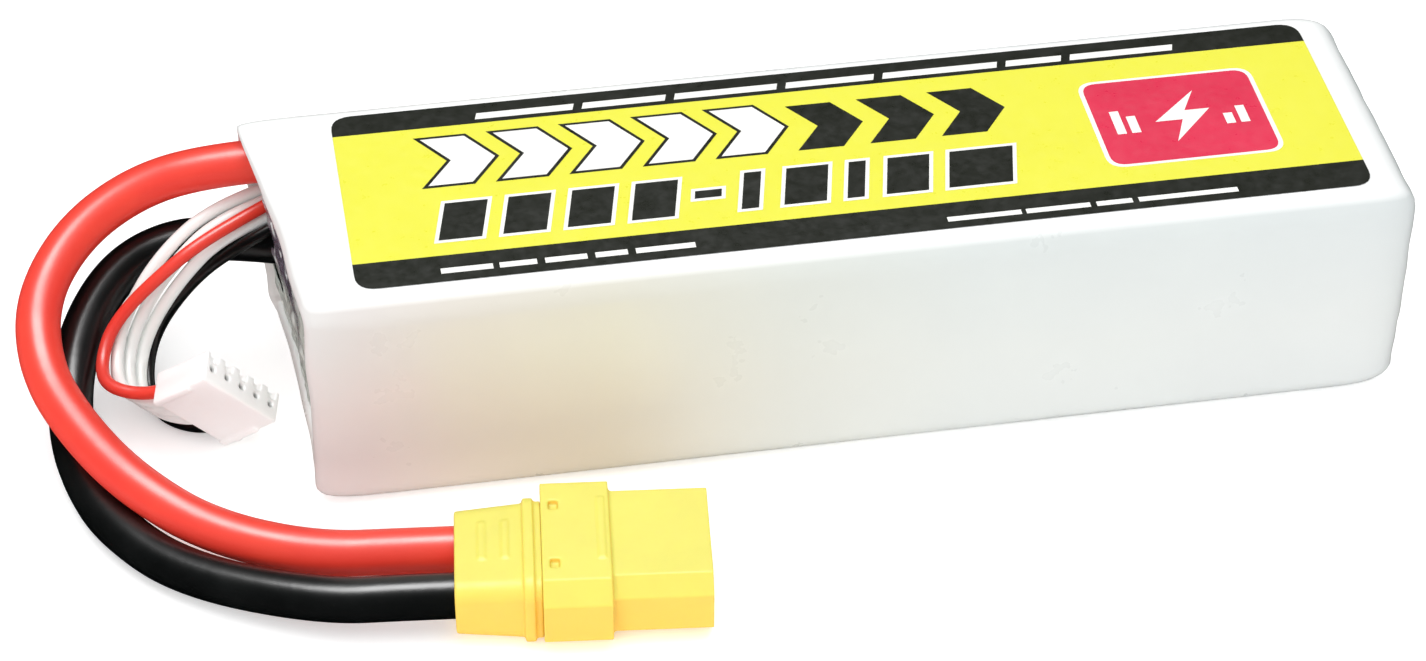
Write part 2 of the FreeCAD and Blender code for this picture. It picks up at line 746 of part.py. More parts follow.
# ---------------------------------------------------------------- balance plug
balance_block = box("balance_block", ("balance_length", "balance_depth", "balance_thickness"),
                    ("-1 * balance_length / 2", "-1 * balance_depth / 2",
                     "-1 * balance_thickness / 2"))
balance_solids = [balance_block]
for side in (-1, 1):
    balance_solids.append(box(
        "balance_rail_%d" % (1 if side < 0 else 2),
        ("balance_rail_width", "balance_rail_length", "balance_thickness / 2 + balance_rail_rise"),
        ("%d * (balance_length - balance_rail_width) / 2 - balance_rail_width / 2" % side,
         "-1 * balance_depth / 2", "0")))
balance_solids.append(box(
    "balance_nub", ("balance_nub_rise + balance_nub_root", "balance_nub_length", "balance_nub_thickness"),
    ("balance_length / 2 - balance_nub_root", "-1 * balance_nub_middle - balance_nub_length / 2",
     "balance_thickness / 2 - balance_nub_thickness")))
balance_cuts = []
for pin in range(1, int(size("balance_count")) + 1):
    offset = "(%d - (balance_count + 1) / 2) * balance_pitch" % pin
    balance_cuts.append(box(
        "pin_%d_cavity" % pin,
        ("balance_cavity_side", "balance_depth - balance_wire_depth - balance_mouth_wall",
         "balance_cavity_side"),
        (offset + " - balance_cavity_side / 2", "balance_wire_depth - balance_depth / 2",
         "-1 * balance_cavity_side / 2")))
    balance_cuts.append(box(
        "pin_%d_mouth" % pin,
        ("balance_mouth_side", "2 * balance_mouth_wall", "balance_mouth_side"),
        (offset + " - balance_mouth_side / 2", "balance_depth / 2 - balance_mouth_reach",
         "-1 * balance_mouth_side / 2")))
    balance_cuts.append(bound_rod(
        "pin_%d_wire_hole" % pin, "balance_wire_hole_radius", "balance_wire_depth",
        (offset, "-1 * balance_depth / 2", 0), (0, 1, 0)))
    balance_cuts.append(box(
        "pin_%d_notch" % pin,
        ("balance_notch_width", "balance_notch_depth",
         "balance_thickness / 2 - balance_notch_floor"),
        (offset + " - balance_notch_width / 2", "balance_depth / 2 - balance_notch_depth",
         "-1 * balance_thickness / 2")))
    balance_cuts.append(box(
        "pin_%d_window" % pin,
        ("balance_window_width", "balance_window_length", "balance_thickness / 2"),
        (offset + " - balance_window_width / 2",
         "balance_window_middle - balance_window_length / 2", "-1 * balance_thickness / 2")))
    terminal = box("pin_%d_terminal_block" % pin,
                   ("terminal_side", "terminal_length", "terminal_side"),
                   (offset + " - terminal_side / 2", "balance_wire_depth - balance_depth / 2",
                    "-1 * terminal_side / 2"))
    bore = box("pin_%d_terminal_bore" % pin,
               ("terminal_bore_side", "terminal_bore_depth", "terminal_bore_side"),
               (offset + " - terminal_bore_side / 2",
                "balance_wire_depth - balance_depth / 2 + terminal_length - terminal_bore_depth",
                "-1 * terminal_bore_side / 2"))
    part(cut("pin_%d_terminal" % pin, terminal, bore), "balance_contact_%d" % pin, balance_frame)
part(cut("balance_plug_solid", join("balance_outside", balance_solids),
         join("balance_cuts", balance_cuts)), "balance_plug_housing", balance_frame)

# ---------------------------------------------------------------- checks and export
doc.recompute()
for feature in doc.Objects:
    if any(word in feature.State for word in ("Invalid", "Error")):
        raise RuntimeError("feature %s is in error: %s" % (feature.Name, feature.State))
for feature in parts:
    if feature.Shape.isNull() or not feature.Shape.isValid() or not feature.Shape.Solids:
        raise RuntimeError("sub-part %s has no valid solid" % feature.Label)
labels = [feature.Label for feature in parts]
if len(set(labels)) != len(labels):
    raise RuntimeError("two sub-parts share a name")
for feature in parts:
    feature.Shape.exportStep(os.path.join("parts", feature.Label + ".step"))
    limits = feature.Shape.BoundBox
    print("%-26s solids %d volume %9.2f  x %7.2f %7.2f  y %7.2f %7.2f  z %6.2f %6.2f" % (
        feature.Label, len(feature.Shape.Solids), feature.Shape.Volume,
        limits.XMin, limits.XMax, limits.YMin, limits.YMax, limits.ZMin, limits.ZMax))
print("%d sub-parts written" % len(parts))
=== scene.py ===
"""Looks of the battery pack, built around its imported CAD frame. Metres, in the CAD frame."""
import json
import math

import bmesh
import bpy
from mathutils import Matrix, Vector, noise


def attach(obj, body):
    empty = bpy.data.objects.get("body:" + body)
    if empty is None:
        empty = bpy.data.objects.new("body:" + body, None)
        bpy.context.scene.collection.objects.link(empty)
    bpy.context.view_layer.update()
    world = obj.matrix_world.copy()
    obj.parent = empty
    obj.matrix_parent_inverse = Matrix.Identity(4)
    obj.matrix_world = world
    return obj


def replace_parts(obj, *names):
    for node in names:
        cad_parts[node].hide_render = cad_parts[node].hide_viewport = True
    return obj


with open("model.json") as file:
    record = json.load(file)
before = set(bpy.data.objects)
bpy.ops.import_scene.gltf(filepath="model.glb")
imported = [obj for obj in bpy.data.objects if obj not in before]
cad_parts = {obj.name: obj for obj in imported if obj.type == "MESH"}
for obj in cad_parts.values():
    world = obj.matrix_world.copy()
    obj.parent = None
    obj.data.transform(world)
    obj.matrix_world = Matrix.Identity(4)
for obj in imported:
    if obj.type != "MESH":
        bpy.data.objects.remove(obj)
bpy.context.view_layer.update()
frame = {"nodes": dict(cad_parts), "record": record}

MM = 0.001
BODY, CAP = "pack", "cap"
collection = bpy.context.scene.collection

# ------------------------------------------------------------------ camera
camera = bpy.data.objects.new("camera", bpy.data.cameras.new("camera"))
collection.objects.link(camera)
right = Vector((0.98532, -0.17062, 0.00537))
up = Vector((0.10633, 0.63804, 0.76263))
forward = Vector((0.13354, 0.75086, -0.64681))
camera.matrix_world = Matrix.Translation((-0.07955, -0.36521, 0.31942)) @ Matrix(
    (right, up, -forward)).transposed().to_4x4()
camera.data.lens = 93.89
camera.data.sensor_width = 36
camera.data.clip_start = 0.02
camera.data.clip_end = 20
bpy.context.scene.camera = camera

# ------------------------------------------------------------------ cords
PLUG_ANGLE = math.radians(-6.4)
PLUG_X = Vector((math.cos(PLUG_ANGLE), math.sin(PLUG_ANGLE), 0))
PLUG_Y = Vector((-math.sin(PLUG_ANGLE), math.cos(PLUG_ANGLE), 0))
PLUG_FRONT = Vector((-22.45, -43.4, 5.2))
PLUG_FRAME = Matrix.Translation(PLUG_FRONT * MM) @ Matrix(
    (PLUG_X, PLUG_Y, Vector((0, 0, 1)))).transposed().to_4x4()
BALANCE_Y = Vector((0.710, -0.355, 0.608)).normalized()
BALANCE_X = Vector((0.669, 0.072, -0.740))
BALANCE_X = (BALANCE_X - BALANCE_X.dot(BALANCE_Y) * BALANCE_Y).normalized()
BALANCE_Z = BALANCE_X.cross(BALANCE_Y)
BALANCE_CENTRE = Vector((-79.5, -7.0, 8.6))
BALANCE_FRAME = Matrix.Translation(BALANCE_CENTRE * MM) @ Matrix(
    (BALANCE_X, BALANCE_Y, BALANCE_Z)).transposed().to_4x4()
POLE = 4.05
PIN_PITCH = 2.5


def at_plug(behind, across):
    """A point behind the main plug's front face, in millimetres."""
    return tuple(PLUG_FRONT - behind * PLUG_X + across * PLUG_Y)


def at_pin(along, pin):
    """A point on a balance pin's axis, in millimetres."""
    return tuple(BALANCE_CENTRE + along * BALANCE_Y + (pin - 3) * PIN_PITCH * BALANCE_X)


ROUTES = {
    "positive_lead": [
        (-69, 16.5, 27.4), (-77.5, 17.4, 26.8), (-86.8, 18.1, 24), (-95.3, 14.4, 20.4),
        (-100.8, 6.5, 16.4), (-100.9, -2.8, 12.6), (-97.1, -11.6, 10.2), (-91.2, -20.3, 7.9),
        (-82.3, -27.7, 5.2), (-69.7, -33.7, 4.8), at_plug(36, POLE),
        at_plug(25, POLE)],
    "negative_lead": [
        (-69, 13.8, 15.8), (-76, 15, 16.6), (-83, 16.2, 16.2), (-90, 14.9, 13.6),
        (-95.2, 9.7, 9.6), (-97.7, 2.8, 5.8), (-98.2, -5, 3.4), (-97, -13.3, 2.95),
        (-93.5, -23.1, 2.95), (-85.4, -32.8, 2.95), (-69.6, -41.8, 4.6), at_plug(36, -POLE),
        at_plug(25, -POLE)],
    "balance_wire_1": [
        (-69, 14.4, 22.6), (-76.8, 10.6, 21.5), (-83.4, 7.4, 19.2), (-91.3, 7.4, 11.2),
        (-93.7, 3.2, 7.8), (-93.1, -2.2, 8)],
    "balance_wire_2": [
        (-69, 18.6, 21.7), (-77.1, 15.6, 21.7), (-84.9, 11.6, 17.5), (-90.3, 8.9, 10),
        (-91.9, 3.8, 6.3), (-91.2, -1.8, 6.4)],
    "balance_wire_3": [
        (-69, 16.6, 21.2), (-76.5, 13.2, 21.6), (-83.7, 10.2, 16.5), (-88.9, 9.5, 8),
        (-90.6, 4.1, 4.7), (-89.6, -1.6, 4.5)],
    "balance_wire_4": [
        (-69, 14.5, 20.3), (-76.2, 11.9, 19.7), (-82.3, 9.8, 15), (-87.5, 9.9, 6.5),
        (-89.3, 4.5, 3), (-88, -1.4, 2.8)],
    "balance_wire_5": [
        (-69, 12.2, 20.2), (-76, 11, 17.6), (-81.8, 11, 12.6), (-86.9, 11.4, 4.6),
        (-88.4, 4.9, 1.4), (-86.6, -1.2, 0.95)],
}
for pin in range(1, 6):
    ROUTES["balance_wire_%d" % pin] += [at_pin(-6.5, pin), at_pin(-2.2, pin)]
LEAD_RADIUS, WIRE_RADIUS = 2.85, 0.85


def cord_curve(name, points, radius):
    """A round cord whose control points are the route."""
    data = bpy.data.curves.new(name, "CURVE")
    data.dimensions = "3D"
    spline = data.splines.new("NURBS")
    spline.points.add(len(points) - 1)
    for point, place in zip(spline.points, points):
        point.co = (*(Vector(place) * MM), 1)
        point.radius = radius * MM
    spline.order_u = 3
    spline.use_endpoint_u = True
    data.resolution_u = 16
    data.bevel_depth = 1
    data.bevel_resolution = 7
    data.use_fill_caps = True
    piece = bpy.data.objects.new(name + "_cord", data)
    collection.objects.link(piece)
    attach(piece, BODY)
    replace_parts(piece, name)
    return piece


cords = {name: cord_curve(name, points, LEAD_RADIUS if "lead" in name else WIRE_RADIUS)
         for name, points in ROUTES.items()}


# ------------------------------------------------------------------ materials
def srgb(red, green, blue):
    """Linear colour from an 8-bit sRGB one."""
    def linear(value):
        value /= 255
        return value / 12.92 if value <= 0.04045 else ((value + 0.055) / 1.055) ** 2.4
    return (linear(red), linear(green), linear(blue), 1)


class Nodes:
    """Builds a node material a step at a time."""

    def __init__(self, name):
        self.material = bpy.data.materials.new(name)
        self.material.use_nodes = True
        self.tree = self.material.node_tree
        self.shader = self.tree.nodes["Principled BSDF"]
        self.place = self.add("ShaderNodeTexCoord").outputs["Object"]

    def add(self, kind, **settings):
        node = self.tree.nodes.new(kind)
        for key, value in settings.items():
            setattr(node, key, value)
        return node

    def link(self, source, target):
        self.tree.links.new(source, target)
        return target

    def noise(self, scale, detail=4, rough=0.5, stretch=None):
        """Noise in the frame's own space; scale is in features per metre."""
        texture = self.add("ShaderNodeTexNoise")
        texture.inputs["Scale"].default_value = scale
        texture.inputs["Detail"].default_value = detail
        texture.inputs["Roughness"].default_value = rough
        place = self.place
        if stretch:
            mapping = self.add("ShaderNodeMapping")
            mapping.inputs["Scale"].default_value = stretch
            self.link(place, mapping.inputs["Vector"])
            place = mapping.outputs["Vector"]
        self.link(place, texture.inputs["Vector"])
        return texture.outputs["Fac"]

    def ramp(self, factor, stops):
        """A colour ramp; stops are (position, colour) pairs."""
        ramp = self.add("ShaderNodeValToRGB")
        elements = ramp.color_ramp.elements
        while len(elements) < len(stops):
            elements.new(0.5)
        for element, (position, colour) in zip(elements, stops):
            element.position = position
            element.color = colour
        self.link(factor, ramp.inputs["Fac"])
        return ramp.outputs["Color"]

    def grey(self, factor, low, high, start=0.3, end=0.7):
        """A factor spread between two grey values."""
        spread = self.add("ShaderNodeMapRange")
        for key, value in (("From Min", start), ("From Max", end), ("To Min", low), ("To Max", high)):
            spread.inputs[key].default_value = value
        self.link(factor, spread.inputs["Value"])
        return spread.outputs["Result"]

    def mix(self, factor, one, other, blend="MIX"):
        """Two colours mixed; each may be a colour or a socket."""
        mixer = self.add("ShaderNodeMix", data_type="RGBA", blend_type=blend)
        for socket, value in ((mixer.inputs[0], factor), (mixer.inputs[6], one), (mixer.inputs[7], other)):
            if isinstance(value, bpy.types.NodeSocket):
                self.link(value, socket)
            else:
                socket.default_value = value
        return mixer.outputs[2]

    def axis(self, name, low, high):
        """0 to 1 along one axis of the frame, between two places in millimetres."""
        split = self.add("ShaderNodeSeparateXYZ")
        self.link(self.place, split.inputs[0])
        return self.grey(split.outputs[name], 0, 1, low * MM, high * MM)

    def upward(self, low, high):
        """0 to 1 as the surface turns up, between two values of its normal's height."""
        split = self.add("ShaderNodeSeparateXYZ")
        self.link(self.add("ShaderNodeNewGeometry").outputs["Normal"], split.inputs[0])
        return self.grey(split.outputs["Z"], 0, 1, low, high)

    def bump(self, height, distance, strength=1.0, normal=None):
        """A bump of a height in millimetres."""
        bump = self.add("ShaderNodeBump")
        bump.inputs["Distance"].default_value = distance * MM
        bump.inputs["Strength"].default_value = strength
        self.link(height, bump.inputs["Height"])
        if normal:
            self.link(normal, bump.inputs["Normal"])
        return bump.outputs["Normal"]

    def set(self, **values):
        """Set shader inputs by name, with _ for a space; a socket is linked."""
        for key, value in values.items():
            socket = self.shader.inputs[key.replace("_", " ")]
            if isinstance(value, bpy.types.NodeSocket):
                self.link(value, socket)
            else:
                socket.default_value = value
        return self.material


def worn(name, colour, other, rough=(0.35, 0.5), scale=600, grain=0.02, patch=60, **more):
    """A moulded or printed surface: two close colours in patches, uneven gloss and a fine grain."""
    nodes = Nodes(name)
    patches = nodes.noise(patch, 5, 0.6)
    fine = nodes.noise(scale, 6, 0.6)
    nodes.set(Base_Color=nodes.ramp(patches, ((0.3, colour), (0.7, other))),
              Roughness=nodes.grey(fine, *rough), Normal=nodes.bump(fine, grain), **more)
    return nodes.material


def silicone(name, colour, other, rough, gloss=0.45):
    """Soft cable sheath: faint bloom, slight orange peel and fine dust."""
    nodes = Nodes(name)
    bloom = nodes.noise(90, 4, 0.6)
    peel = nodes.noise(700, 3, 0.5)
    dust = nodes.ramp(nodes.noise(2600, 2, 0.5), ((0.66, (0, 0, 0, 1)), (0.74, (1, 1, 1, 1))))
    pale = tuple(min(1, value * 1.5 + 0.05) for value in other[:3]) + (1,)
    base = nodes.ramp(bloom, ((0.35, colour), (0.7, other)))
    share = nodes.mix(0.10, (0, 0, 0, 1), dust)
    nodes.set(Base_Color=nodes.mix(share, base, pale), Roughness=nodes.grey(bloom, *rough),
              Normal=nodes.bump(peel, 0.02), Specular_IOR_Level=gloss)
    return nodes.material


def metal(name, colour, other, rough=(0.25, 0.45), scale=900):
    """Bare or plated metal with uneven tarnish."""
    return worn(name, colour, other, rough, scale, 0.01, 250, Metallic=1.0)


M = {
    "red": silicone("red_silicone", srgb(234, 66, 50), srgb(228, 54, 42), (0.32, 0.42), 0.5),
    "black": silicone("black_silicone", (0.0025, 0.003, 0.003, 1), (0.005, 0.006, 0.006, 1),
                      (0.26, 0.36), 0.5),
    "white": silicone("white_silicone", srgb(246, 248, 246), srgb(238, 241, 238), (0.35, 0.5)),
    "nylon": worn("balance_nylon", srgb(252, 253, 252), srgb(248, 249, 247), (0.28, 0.42), 900, 0.02, 200,
                  Subsurface_Weight=0.4, Subsurface_Radius=(1, 1, 1), Subsurface_Scale=0.0015),
    "gold": metal("contact_gold", srgb(236, 196, 110), srgb(214, 168, 84)),
    "tin": metal("terminal_tin", srgb(205, 204, 200), srgb(170, 168, 164)),
    "copper": metal("tinned_copper", srgb(200, 190, 176), srgb(168, 150, 130)),
    "solder": metal("solder", srgb(196, 197, 196), srgb(150, 150, 148), (0.18, 0.4)),
    "nickel": metal("tab_nickel", srgb(190, 186, 176), srgb(160, 156, 146)),
    "foil": worn("cell_foil", srgb(176, 178, 180), srgb(150, 152, 155), (0.3, 0.5), 700, 0.03, 40,
                 Metallic=0.8),
    "foam": worn("separator_foam", srgb(214, 214, 206), srgb(196, 196, 188), (0.8, 0.95), 2500, 0.08),
    "guard": worn("guard_board", srgb(60, 104, 66), srgb(74, 120, 78), (0.4, 0.6), 1500, 0.02),
    "board": worn("circuit_board", srgb(16, 70, 38), srgb(24, 86, 46), (0.25, 0.4), 1200, 0.02),
}

# Painted light and shade: the nylon's up-facing faces take a paler lemon colour standing for light on its
# top, and its sides an orange one standing for shade.
nodes = Nodes("plug_nylon")
fine = nodes.noise(900, 6, 0.6)
patches = nodes.ramp(nodes.noise(120, 5, 0.6), ((0.3, (0.94, 0.94, 0.94, 1)), (0.7, (1, 1, 1, 1))))
base = nodes.mix(nodes.upward(0.1, 0.85), (0.90, 0.59, 0.10, 1), (0.76, 0.70, 0.125, 1))
M["yellow"] = nodes.set(
    Base_Color=nodes.mix(1.0, base, patches, "MULTIPLY"), Roughness=nodes.grey(fine, 0.42, 0.54),
    Specular_IOR_Level=0.3, Normal=nodes.bump(fine, 0.012), Subsurface_Weight=0.15,
    Subsurface_Radius=(0.8, 0.45, 0.05), Subsurface_Scale=0.002)

SLOT_LOOKS = {
    "cell_foil": "foil", "separator_foam": "foam", "guard_board": "guard", "circuit_board": "board",
    "tab_nickel": "nickel", "solder": "solder", "tinned_copper": "copper", "contact_gold": "gold",
    "terminal_tin": "tin", "plug_nylon": "yellow", "balance_nylon": "nylon", "red_silicone": "red",
    "black_silicone": "black", "white_silicone": "white",
}
slot_of = {row["node"]: row["material_slot"] for row in frame["record"]["subparts"]}


def dress(piece, look):
    """Give a piece one material."""
    piece.data.materials.clear()
    piece.data.materials.append(M[look])
    return piece


for node, piece in frame["nodes"].items():
    look = SLOT_LOOKS.get(slot_of[node])
    if look:
        dress(piece, look)
for name, piece in cords.items():
    dress(piece, SLOT_LOOKS[slot_of[name]])


# ------------------------------------------------------------------ mesh helpers
def new_piece(name, verts, faces, look, sharp):
    """A mesh piece of the pack, smooth apart from edges sharper than an angle."""
    mesh = bpy.data.meshes.new(name)
    mesh.from_pydata([tuple(v) for v in verts], [], faces)
    mesh.update()
    piece = bpy.data.objects.new(name, mesh)
    collection.objects.link(piece)
    smooth(piece, sharp)
    dress(piece, look)
    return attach(piece, BODY)


def smooth(piece, sharp):
    """Smooth shading with edges over an angle kept sharp."""
    mesh = piece.data
    mesh.polygons.foreach_set("use_smooth", [True] * len(mesh.polygons))
    mesh.set_sharp_from_angle(angle=math.radians(sharp))


def ring_faces(rings, size, closed=True):
    """Quads between rings of the same size that follow one another."""
    faces = []
    for row in range(rings - 1):
        for column in range(size if closed else size - 1):
            following = (column + 1) % size
            faces.append((row * size + column, row * size + following,
                          (row + 1) * size + following, (row + 1) * size + column))
    return faces


def moulded(node, place, voxel, passes, keep, look, body=BODY):
    """A CAD node remade in its own axes with softly rounded edges: voxel size in millimetres,
    smoothing passes, and the share of faces to keep."""
    mesh = frame["nodes"][node].data.copy()
    mesh.transform(place.inverted())
    piece = bpy.data.objects.new(node + "_piece", mesh)
    collection.objects.link(piece)
    remesh = piece.modifiers.new("remesh", "REMESH")
    remesh.mode = "VOXEL"
    remesh.voxel_size = voxel * MM
    relax = piece.modifiers.new("relax", "SMOOTH")
    relax.factor = 0.5
    relax.iterations = passes
    thin = piece.modifiers.new("thin", "DECIMATE")
    thin.ratio = keep
    bpy.context.view_layer.update()
    done = bpy.data.meshes.new_from_object(piece.evaluated_get(bpy.context.evaluated_depsgraph_get()))
    done.transform(place)
    piece.modifiers.clear()
    piece.data = done
    smooth(piece, 60)
    dress(piece, look)
    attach(piece, body)
    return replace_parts(piece, node)


# ------------------------------------------------------------------ shrink sleeve
WIDTH, HEIGHT = 42.0, 32.2
SLANT = 3.8
SLEEVE_CORNER = 3.4


def wave(x, y, z, scale, seed):
    """Smooth noise about 0, features scale millimetres across."""
    return noise.noise(Vector((x / scale + seed * 7.3, y / scale - seed * 3.1, z / scale + seed)))


def between(value, low, high):
    """0 to 1 as a value goes from low to high."""
    return max(0.0, min(1.0, (value - low) / (high - low)))


def eased(share):
    """A share of the way, starting and ending gently."""
    return share * share * (3 - 2 * share)


def bar_ring(width, height, radius, flats=(26, 18), corner=8):
    """Points round a rounded rectangle and their outward normals, in order round it."""
    points = []
    half_w, half_h = width / 2 - radius, height / 2 - radius
    corners = ((half_w, -half_h, -90), (half_w, half_h, 0), (-half_w, half_h, 90), (-half_w, -half_h, 180))
    for index, (cy, cz, start) in enumerate(corners):
        previous = corners[index - 1]
        count = flats[index % 2]
        angle = math.radians(start)
        normal = (math.cos(angle), math.sin(angle))
        for step in range(1, count):
            share = step / count
            points.append((previous[0] + (cy - previous[0]) * share + normal[0] * radius,
                           previous[1] + (cz - previous[1]) * share + normal[1] * radius, *normal))
        for step in range(corner + 1):
            angle = math.radians(start + 90 * step / corner)
            points.append((cy + math.cos(angle) * radius, cz + math.sin(angle) * radius,
                           math.cos(angle), math.sin(angle)))
    return points


HIGH_SPAN = (6, 32)       # heights between which the upper part of the lead end takes over
FAR_SPAN = (-2, 17)       # places across the pack between which its far side takes over
UPPER_PULL = 1.3          # how far the leads pull the film out at the far upper corner
LOWER_TUCK = 1.3          # how far the film is tucked in low down, most in the middle
FAR_TUCK = 0.9            # and how much further on the far side
RIM_RIPPLE = 0.35
SIDE_CROWN = 0.10         # the sides bulge a little, more at the rear end
REAR_CROWN = 0.35
SIDE_WAVE = 0.16
FINE_WAVE = 0.05
LEAD_PLEATS = 0.12
REAR_PLEATS = 0.10


def rim_shift(y, z):
    """How far the left end's outline moves in X, from its slant and where the film is pulled about."""
    half_width = WIDTH / 2
    high = between(z, *HIGH_SPAN)
    far = between(y, *FAR_SPAN)
    low = 1 - high
    shift = SLANT * (half_width - y) / WIDTH
    shift -= UPPER_PULL * high * eased(far)
    shift += LOWER_TUCK * low * low * (1 - (y / half_width) ** 2) + FAR_TUCK * low * low * far
    return shift + RIM_RIPPLE * wave(0, y, z, 7, 3) * (1 - 0.5 * low)


def sleeve_surface(x, y, z, ny, nz, inset):
    """A point of the film: nominal place along the pack, place round the bar, inset from it."""
    lead_end = between(-x, 56, 72)
    rear_end = between(x, 54, 72)
    place_x = x + rim_shift(y, z) * eased(between(-x, 30, 72))
    side = abs(ny)
    middle = max(0.0, 1 - ((z - HEIGHT / 2) / (HEIGHT / 2)) ** 2)
    lift = SIDE_CROWN * side * middle
    lift += SIDE_WAVE * side * wave(x, 0, z, 26, 1) + FINE_WAVE * wave(x, y, z, 7, 2)
    lift += REAR_CROWN * rear_end * side * middle
    lift += LEAD_PLEATS * lead_end * wave(x * 0.4, y, z, 3.2, 4)
    lift += REAR_PLEATS * rear_end * wave(x * 0.4, y, z, 3.5, 5)
    if nz > 0.5:
        lift *= 0.25
    if nz < -0.5:
        lift = -abs(lift) * 0.4
    if x < 0:
        # the film folds in less round the leads, at the far upper corner
        inset *= 1 - 0.62 * min(1, between(z, *HIGH_SPAN) * 1.3) * between(y, *FAR_SPAN)
    lift -= inset
    return Vector((place_x, y + ny * lift, z + nz * lift)) * MM


ring = bar_ring(WIDTH, HEIGHT, SLEEVE_CORNER)
# The film's outline along the pack: place in X and how far it is drawn in from the full section.
sleeve_profile = [
    (-62, 2.5), (-69, 2.6), (-71.3, 2.6), (-71.9, 2.35), (-72.1, 1.9), (-72.0, 1.4), (-71.6, 0.95),
    (-71.0, 0.62), (-69.9, 0.33), (-68.4, 0.14), (-66.5, 0.04), (-64, 0), (-61, 0), (-57, 0)]
sleeve_profile += [(-52 + 4 * step, 0) for step in range(29)]
sleeve_profile += [
    (63, 0), (65.5, 0.03), (67.5, 0.15), (69, 0.4), (70.2, 0.8), (71.1, 1.4), (71.7, 2.2), (71.95, 3.2),
    (72.0, 4.4), (71.95, 5.4), (71.7, 5.9), (71.2, 6.0), (69.5, 5.9)]
verts = []
for x, inset in sleeve_profile:
    for y, z, ny, nz in ring:
        pleat = 0.0
        if x > 70.9 and inset > 1.4:
            pleat = 0.28 * wave(0, y * ny * ny + y, z, 2.6, 8) * min(1, (inset - 1.2) / 2)
        verts.append(sleeve_surface(x + pleat, y, z + HEIGHT / 2, ny, nz, inset))

nodes = Nodes("shrink_film")
# Partly the film's own off-white, partly painted bounce light: pink stops near the lead end and cream ones
# in the middle stand for light thrown back by the red leads and the yellow plug.
film_tone_and_painted_bounce = nodes.ramp(nodes.axis("X", -72, 72), (
    (0.0, srgb(220, 217, 215)), (0.07, srgb(219, 211, 207)), (0.15, srgb(219, 211, 201)),
    (0.28, srgb(219, 214, 200)), (0.44, srgb(216, 217, 210)), (0.60, srgb(215, 218, 215)),
    (1.0, srgb(216, 219, 218))))
# Painted light and shade: the film's sides are lightest low down and turn slightly darker and cooler
# towards the top.
painted_height_shade = nodes.ramp(nodes.axis("Z", 0, 32), (
    (0.0, srgb(255, 255, 255)), (0.45, srgb(253, 253, 252)), (1.0, srgb(246, 249, 250))))
mottle = nodes.ramp(nodes.noise(40, 5, 0.6), ((0.3, (0.965, 0.965, 0.97, 1)), (0.7, (1, 1, 1, 1))))
sides = nodes.mix(1.0, film_tone_and_painted_bounce, painted_height_shade, "MULTIPLY")
# Painted light: faces that point up take a whiter colour than the sides, standing for the brighter lit
# top.
base = nodes.mix(nodes.upward(0.7, 0.97), sides, srgb(248, 250, 249))
crease = nodes.noise(55, 3, 0.45, (0.22, 1, 1.6))
M["film"] = nodes.set(
    Base_Color=nodes.mix(1.0, base, mottle, "MULTIPLY"), Normal=nodes.bump(crease, 0.12, 0.5),
    Roughness=nodes.grey(nodes.noise(120, 4, 0.6), 0.26, 0.40), Coat_Weight=0.15, Coat_Roughness=0.18)
sleeve = new_piece("sleeve", verts, ring_faces(len(sleeve_profile), len(ring)), "film", 50)
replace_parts(sleeve, "shrink_sleeve")

# ------------------------------------------------------------------ tape and film across the lead end
nodes = Nodes("end_film")
dark = nodes.mix(nodes.noise(220, 4, 0.6), srgb(52, 56, 62), srgb(132, 116, 132))
# Painted highlights: small white flecks mixed into the dark tape's colour stand for glints of light on its
# crumples.
painted_glints = nodes.ramp(nodes.noise(420, 2, 0.5), ((0.56, (0, 0, 0, 1)), (0.64, (1, 1, 1, 1))))
dark = nodes.mix(painted_glints, dark, srgb(226, 232, 232))
pale = nodes.ramp(nodes.noise(150, 4, 0.6), ((0.3, srgb(200, 207, 198)), (0.7, srgb(222, 226, 220))))
share = nodes.mix(1.0, nodes.axis("Z", 13, 19), nodes.axis("Y", -12, -4), "MULTIPLY")
M["end"] = nodes.set(
    Base_Color=nodes.mix(share, pale, dark), Roughness=nodes.grey(nodes.noise(300), 0.12, 0.32),
    Normal=nodes.bump(nodes.noise(260, 4, 0.6), 0.6), Coat_Weight=0.3)

ROWS, COLUMNS = 40, 56
SHEET_HALF, SHEET_BASE, SHEET_TOP = 19.6, 1.1, 31.0
WINDOW_Y, WINDOW_Z = 9.2, 11.6       # near and lower edges of the gap that the leads come out of
verts, keep = [], set()
for row in range(ROWS + 1):
    for column in range(COLUMNS + 1):
        y = -SHEET_HALF + 2 * SHEET_HALF * column / COLUMNS
        z = SHEET_BASE + (SHEET_TOP - SHEET_BASE) * row / ROWS
        edge = between(min(SHEET_HALF - abs(y), z - SHEET_BASE, SHEET_TOP - z), 0, 3)
        bulge = 0.9 + 0.5 * math.exp(-((y - 9) / 6) ** 2 - ((z - 10.5) / 4) ** 2)
        bulge += 0.55 * wave(1, y, z, 4.2, 11) + 0.3 * wave(2, y, z, 1.7, 12)
        x = -71.0 + rim_shift(y, z) + 0.9 - (bulge + 0.3) * (edge ** 0.5)
        verts.append(Vector((x, y, z)) * MM)
        past_side = y > WINDOW_Y + 0.8 * wave(3, 0, z, 3, 13)
        past_base = z > WINDOW_Z + 0.7 * wave(4, y, 0, 3, 14)
        if not (past_side and past_base):
            keep.add(row * (COLUMNS + 1) + column)
faces = [face for face in ring_faces(ROWS + 1, COLUMNS + 1, False)
         if all(corner in keep for corner in face)]
end_film = new_piece("end_film", verts, faces, "end", 70)
solid = end_film.modifiers.new("thickness", "SOLIDIFY")
solid.thickness = 0.12 * MM
solid.offset = 1
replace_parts(end_film, "end_tape")

# ------------------------------------------------------------------ label
LABEL_CENTRE, LABEL_LENGTH, LABEL_WIDTH, LABEL_CORNER = 2.5, 128.0, 35.0, 2.8


